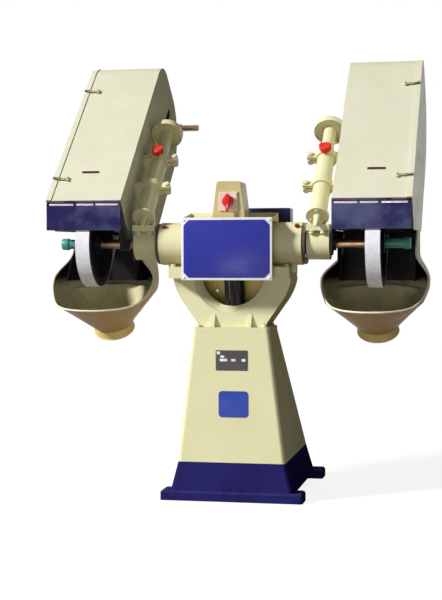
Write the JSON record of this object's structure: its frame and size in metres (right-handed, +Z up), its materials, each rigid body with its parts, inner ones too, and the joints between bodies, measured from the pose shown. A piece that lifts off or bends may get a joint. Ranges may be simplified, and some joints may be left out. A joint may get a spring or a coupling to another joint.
{
  "type": "stationary belt sander",
  "caption": "Floor-standing belt sander: a cast pedestal carries a spindle whose ends drive sanding belts up leaning guarded arms, with doors, visors and dust hoods.",
  "frame": {"origin": "on the floor, at the centre of the pedestal's anchor holes", "axes": "+X along the spindle to the right-hand station, +Y to the machine's back, +Z up"},
  "size_m": [1.36, 0.87, 1.5846],
  "materials": {
    "cream_paint": "smooth gloss enamel",
    "navy_paint": "gloss enamel",
    "sign_blue": "printed enamel",
    "black_paint": "satin enamel",
    "motor_paint": "satin enamel",
    "bare_steel": "turned and oiled",
    "zinc_steel": "zinc plated",
    "bearing_steel": "ground",
    "idler_aluminium": "turned",
    "wheel_rubber": "ground rubber",
    "drive_rubber": "moulded",
    "abrasive_cloth": "coated abrasive cloth",
    "red_plastic": "moulded",
    "grease_red": "moulded",
    "teal_plastic": "moulded",
    "switch_grey": "moulded"
  },
  "bodies": {
    "base": {"pedestal_foot": "navy_paint", "pedestal_column": "cream_paint", "access_cover": "cream_paint", "cradle": "cream_paint", "cradle_back_plate": "cream_paint", "head_housing": "cream_paint", "bearing_noses": "cream_paint", "spindle_bearings": "bearing_steel", "belt_box_lid": "cream_paint", "switch_box": "cream_paint", "switch_plate": "switch_grey", "sign_plate": "sign_blue", "grease_cups": "grease_red", "control_box": "navy_paint", "motor": "motor_paint", "base_fasteners": "zinc_steel", "drive_belts": "drive_rubber"},
    "spindle": {"spindle_shaft": "bare_steel", "spindle_pulley": "black_paint", "contact_wheel_left": "black_paint", "contact_wheel_right": "black_paint", "wheel_tyres": "wheel_rubber", "end_sleeves": "teal_plastic"},
    "motor_rotor": {"motor_shaft": "bare_steel", "motor_pulley": "black_paint"},
    "switch": {"switch_knob": "red_plastic"},
    "arm_left": {"arm_collar_left": "cream_paint", "arm_bracket_left": "cream_paint", "arm_bolts_left": "zinc_steel", "guard_clamps_left": "cream_paint", "guard_shell_left": "cream_paint", "dust_hood_left": "cream_paint", "sanding_belt_left": "abrasive_cloth", "tension_spring_left": "bare_steel"},
    "slide_left": {"slide_tube_left": "cream_paint", "idler_bracket_left": "cream_paint", "idler_axle_left": "bare_steel"},
    "idler_left": {"idler_wheel_left": "idler_aluminium"},
    "lock_left": {"lock_knob_left": "red_plastic"},
    "door_left": {"guard_door_left": "cream_paint"},
    "lower_latch_left": {"lower_latch_left": "zinc_steel"},
    "upper_latch_left": {"upper_latch_left": "zinc_steel"},
    "visor_left": {"visor_left": "navy_paint"},
    "arm_right": {"arm_collar_right": "cream_paint", "arm_bracket_right": "cream_paint", "arm_bolts_right": "zinc_steel", "guard_clamps_right": "cream_paint", "guard_shell_right": "cream_paint", "dust_hood_right": "cream_paint", "sanding_belt_right": "abrasive_cloth", "tension_spring_right": "bare_steel"},
    "slide_right": {"slide_tube_right": "cream_paint", "idler_bracket_right": "cream_paint", "idler_axle_right": "bare_steel"},
    "idler_right": {"idler_wheel_right": "idler_aluminium"},
    "lock_right": {"lock_knob_right": "red_plastic"},
    "door_right": {"guard_door_right": "cream_paint"},
    "lower_latch_right": {"lower_latch_right": "zinc_steel"},
    "upper_latch_right": {"upper_latch_right": "zinc_steel"},
    "visor_right": {"visor_right": "navy_paint"}
  },
  "joints": [
    {"name": "spindle_spin", "type": "hinge", "parent": "base", "child": "spindle", "pos_m": [0, -0.27, 0.9], "axis": [1, 0, 0], "continuous": true},
    {"name": "motor_spin", "type": "hinge", "parent": "base", "child": "motor_rotor", "pos_m": [0, -0.105, 0.164], "axis": [1, 0, 0], "continuous": true},
    {"name": "switch_turn", "type": "hinge", "parent": "base", "child": "switch", "pos_m": [0, -0.352, 1.045], "axis": [0, 1, 0], "range_deg": [-60, 60]},
    {"name": "arm_tilt_left", "type": "hinge", "parent": "base", "child": "arm_left", "pos_m": [-0.306, -0.27, 0.9], "axis": [1, 0, 0], "range_deg": [-20, 25]},
    {"name": "tension_slide_left", "type": "slide", "parent": "arm_left", "child": "slide_left", "axis": [0, 0.7431, 0.6691], "range_m": [-0.03, 0.09], "deforming": ["sanding_belt_left", "tension_spring_left"]},
    {"name": "idler_spin_left", "type": "hinge", "parent": "slide_left", "child": "idler_left", "pos_m": [-0.502, 0.23097, 1.35107], "axis": [1, 0, 0], "continuous": true},
    {"name": "lock_turn_left", "type": "hinge", "parent": "arm_left", "child": "lock_left", "pos_m": [-0.306, -0.11696, 1.23965], "axis": [0, -0.6691, 0.7431], "range_deg": [0, 180]},
    {"name": "door_left", "type": "hinge", "parent": "arm_left", "child": "door_left", "pos_m": [-0.615, 0.24071, 1.05762], "axis": [0, -0.7431, -0.6691], "range_deg": [0, 110]},
    {"name": "lower_latch_left", "type": "hinge", "parent": "arm_left", "child": "lower_latch_left", "pos_m": [-0.5785, -0.33681, 1.12963], "axis": [0, 0.7431, 0.6691], "range_deg": [0, 150]},
    {"name": "upper_latch_left", "type": "hinge", "parent": "arm_left", "child": "upper_latch_left", "pos_m": [-0.5785, 0.0526, 1.48025], "axis": [0, 0.7431, 0.6691], "range_deg": [0, 150]},
    {"name": "visor_left", "type": "hinge", "parent": "arm_left", "child": "visor_left", "pos_m": [-0.49, -0.41992, 1.04558], "axis": [-1, 0, 0], "range_deg": [0, 100]},
    {"name": "arm_tilt_right", "type": "hinge", "parent": "base", "child": "arm_right", "pos_m": [0.306, -0.27, 0.9], "axis": [1, 0, 0], "range_deg": [-20, 25]},
    {"name": "tension_slide_right", "type": "slide", "parent": "arm_right", "child": "slide_right", "axis": [0, 0.7431, 0.6691], "range_m": [-0.03, 0.09], "deforming": ["sanding_belt_right", "tension_spring_right"]},
    {"name": "idler_spin_right", "type": "hinge", "parent": "slide_right", "child": "idler_right", "pos_m": [0.502, 0.23097, 1.35107], "axis": [1, 0, 0], "continuous": true},
    {"name": "lock_turn_right", "type": "hinge", "parent": "arm_right", "child": "lock_right", "pos_m": [0.306, -0.11696, 1.23965], "axis": [0, -0.6691, 0.7431], "range_deg": [0, 180]},
    {"name": "door_right", "type": "hinge", "parent": "arm_right", "child": "door_right", "pos_m": [0.615, 0.24071, 1.05762], "axis": [0, 0.7431, 0.6691], "range_deg": [0, 110]},
    {"name": "lower_latch_right", "type": "hinge", "parent": "arm_right", "child": "lower_latch_right", "pos_m": [0.5785, -0.33681, 1.12963], "axis": [0, -0.7431, -0.6691], "range_deg": [0, 150]},
    {"name": "upper_latch_right", "type": "hinge", "parent": "arm_right", "child": "upper_latch_right", "pos_m": [0.5785, 0.0526, 1.48025], "axis": [0, -0.7431, -0.6691], "range_deg": [0, 150]},
    {"name": "visor_right", "type": "hinge", "parent": "arm_right", "child": "visor_right", "pos_m": [0.49, -0.41992, 1.04558], "axis": [-1, 0, 0], "range_deg": [0, 100]}
  ],
  "couplings": [
    {"joint": "motor_spin", "follows": "spindle_spin", "ratio": 0.84863},
    {"joint": "idler_spin_left", "follows": "spindle_spin", "ratio": 1.7545},
    {"joint": "idler_spin_right", "follows": "spindle_spin", "ratio": 1.7545}
  ]
}
